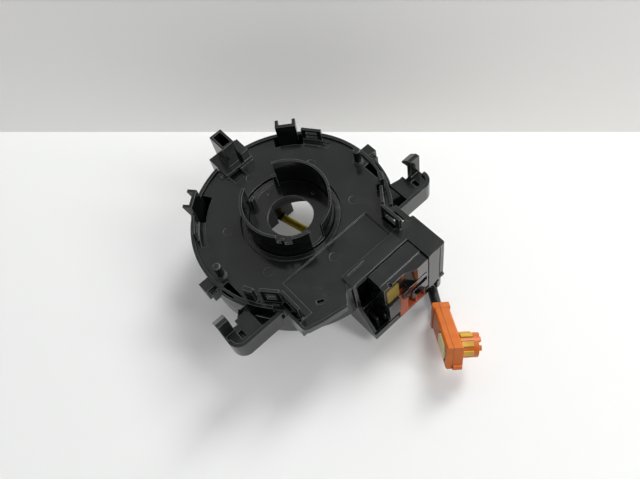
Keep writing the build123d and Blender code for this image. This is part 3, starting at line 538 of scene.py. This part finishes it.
FACE = 52.1                              # the cover's face above the ground, in millimetres
SLOT_X = (28.8, 33.8)                    # the slot in each arm's shelf
SLOT_Y = (56.4, 59.8)
SLOT_FLOOR = (FACE - 5.8, FACE - 4.9)
POCKET = [(24.3, 45.4), (24.3, 56.0), (19.5, 54.6), (15.0, 50.2)]
POCKET_FLOOR = (FACE - 13.0, FACE - 11.6)
NOTCH_RADII = (44.3, 47.5)               # the notch behind each rear window clip
NOTCH_ANGLES = (112.7, 131.2)
NOTCH_FLOOR = (FACE - 1.9, FACE - 0.35)
SHUT_LINE_X = (66.1, 66.88)              # a dark strip of painted shade in the gap between the connector box and its end cover
SHUT_LINE_Y = (38.4, 38.85)
SHUT_LINE_LEVELS = (FACE - 31.6, FACE + 0.9)
SIDES = ((1, "right"), (-1, "left"))     # the cover's +Y side and -Y side

for side, label in SIDES:
    slot_corners = [(x, side * y) for x, y in box_corners(SLOT_X, SLOT_Y)]
    four_sided_plate("arm_slot_floor_" + label, slot_corners, SLOT_FLOOR, "column_side", BLACK)
    pocket_corners = [(x, side * y) for x, y in POCKET]
    four_sided_plate("arm_pocket_web_" + label, pocket_corners, POCKET_FLOOR, "column_side", BLACK)
for side, label in SIDES:
    notch_angles = sorted(side * angle for angle in NOTCH_ANGLES)
    ring_sector("notch_shelf_" + label, NOTCH_RADII, notch_angles, NOTCH_FLOOR, "column_side", BLACK)

# A dark matte strip standing in the gap between the box and its end cover: painted shade.
four_sided_plate("end_cover_gap_shade", box_corners(SHUT_LINE_X, SHUT_LINE_Y), SHUT_LINE_LEVELS,
                 "column_side", GAP_SHADE, edge=0.03)

# Fine ribs along the cam's low ledge, one modelled and the rest copied round
RIB_COUNT = 14
RIB_FIRST = 11.0                         # angle of the first rib, in degrees
RIB_STEP = 2.5
RIB_X = (21.25, 22.65)
RIB_Y = (-0.18, 0.18)
RIB_LEVELS = (FACE + 13.1, FACE + 13.65)

rib = four_sided_plate("cam_ledge_rib_1", box_corners(RIB_X, RIB_Y), RIB_LEVELS,
                       "wheel_side", BLACK_CAM, edge=0.08)
rib_shape = rib.data.copy()
rib.data.transform(Matrix.Rotation(math.radians(RIB_FIRST), 4, "Z"))
for count in range(1, RIB_COUNT):
    copy = bpy.data.objects.new("cam_ledge_rib_" + str(count + 1), rib_shape.copy())
    bpy.context.scene.collection.objects.link(copy)
    copy.data.transform(Matrix.Rotation(math.radians(RIB_FIRST + RIB_STEP * count), 4, "Z"))
    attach(copy, "wheel_side")

# Tabs that stand past the yellow bars round the squib's nose, modelled about the nose's axis
NOSE_ALONG = 27.0 * MM                   # from the lead's end to the nose's axis
TAB_RADII = (3.6, 6.05)
TAB_LEVELS = (12.5, 13.9)
TAB_MIDDLES = (-22.5, -67.5, -112.5, -157.5)
TAB_HALF = 13                            # half of a tab's angle

nose_frame = (Matrix.Translation(LEAD_POINTS[-1]) @ SQUIB_TURN.to_4x4()
              @ Matrix.Translation((NOSE_ALONG, 0, 0))
              @ Matrix.Rotation(math.radians(-90), 4, "X"))
for count, middle in enumerate(TAB_MIDDLES):
    tab = ring_sector("nose_tab_" + str(count + 1), TAB_RADII, (middle - TAB_HALF, middle + TAB_HALF),
                      TAB_LEVELS, "wheel_side", ORANGE, edge=0.12, steps=8)
    tab.data.transform(nose_frame)

GREASE_RADIUS = 22.9                     # along the cam's foot


def grease_patch(name, angle, level, size):
    """A smear of grease pressed out between the cam and its flange."""
    start_piece()
    turn = math.radians(angle)
    place = (GREASE_RADIUS * MM * math.cos(turn), GREASE_RADIUS * MM * math.sin(turn), level * MM)
    bpy.ops.mesh.primitive_ico_sphere_add(subdivisions=3, radius=1.0, location=place,
                                          rotation=(0, 0, turn))
    patch = bpy.context.active_object
    patch.scale = [share * MM for share in size]
    for vertex in patch.data.vertices:
        swell = 0.16 * math.sin(5.0 * vertex.co.x + 2.0 * vertex.co.y) * math.cos(4.0 * vertex.co.y)
        vertex.co *= 1.0 + swell
    return finish_piece(name, "wheel_side", GREASE)


grease_patch("grease_patch_1", -80.0, FACE - 3.6, (0.55, 2.0, 0.7))
grease_patch("grease_patch_2", -62.0, FACE - 3.9, (0.45, 1.3, 0.5))

# ---------------------------------------------------------------- floor and wall
STAGE_GLOW = 0.15
FLOOR_PAINT = (0.80, 0.81, 0.80)
WALL_PAINT = (0.95, 0.935, 0.915)
WALL_LEFT = Vector((-0.2298, -0.0843, 0.0))      # the wall's foot, a level line in the view
WALL_RIGHT = Vector((0.0788, 0.1957, 0.0))
WALL_SPREAD = 1.2                                # how far the wall runs past each of those
WALL_HEIGHT = 1.2
FLOOR_DEPTH = 1.8


def stage_plane(name, corners, colour):
    """A painted plane that is seen from its front and clear from behind."""
    mesh = bpy.data.meshes.new(name)
    mesh.from_pydata(corners, [], [(0, 1, 2, 3)])
    piece = bpy.data.objects.new(name, mesh)
    bpy.context.scene.collection.objects.link(piece)
    finish = Finish(name + "_paint", specular=0.0)
    base = finish.blend(finish.noise(3.0, detail=2.0) * 0.3, colour, shaded(colour, 0.97))
    from_behind = Value(finish.tree, finish.node("ShaderNodeNewGeometry").outputs["Backfacing"])
    material = finish.feed(Base_Color=base, Roughness=0.9, Alpha=1.0 - from_behind)
    finish.glow_to_view(STAGE_GLOW)
    paint(piece, material)
    return piece


along = (WALL_RIGHT - WALL_LEFT).normalized()
toward = Vector((along.y, -along.x, 0.0)) * FLOOR_DEPTH
height = Vector((0, 0, WALL_HEIGHT))
far_left = WALL_LEFT - along * WALL_SPREAD
far_right = WALL_RIGHT + along * WALL_SPREAD
stage_plane("floor", [far_left, far_left + toward, far_right + toward, far_right], FLOOR_PAINT)
wall = stage_plane("backdrop", [far_left, far_right, far_right + height, far_left + height],
                   WALL_PAINT)
wall.visible_shadow = False      # two of the lamps stand behind it


# ---------------------------------------------------------------- lamps and world
def soft_light(name, place, target, size, power):
    data = bpy.data.lights.new(name, "AREA")
    data.shape = "RECTANGLE"
    data.size, data.size_y = size
    data.energy = power
    lamp = bpy.data.objects.new(name, data)
    bpy.context.scene.collection.objects.link(lamp)
    lamp.location = place
    aim = Vector(target) - Vector(place)
    lamp.rotation_euler = aim.to_track_quat("-Z", "Y").to_euler()


soft_light("key_light", place=(-0.15, 1.02, 1.30), target=(0.0, 0.0, 0.02),
           size=(0.4, 0.8), power=15.0)
soft_light("side_light", place=(1.10, 0.52, 1.12), target=(0.03, 0.0, 0.03),
           size=(0.35, 0.9), power=10.0)
soft_light("ceiling_light", place=(-0.75, 0.22, 1.35), target=(-0.3, 0.1, 0.0),
           size=(1.2, 0.75), power=3.2)

world = bpy.data.worlds.new("soft_world")
bpy.context.scene.world = world
world.use_nodes = True
sky = world.node_tree.nodes["Background"]
sky.inputs["Color"].default_value = (0.97, 0.98, 1.0, 1.0)
sky.inputs["Strength"].default_value = 0.17
bpy.context.scene.view_settings.view_transform = "Standard"
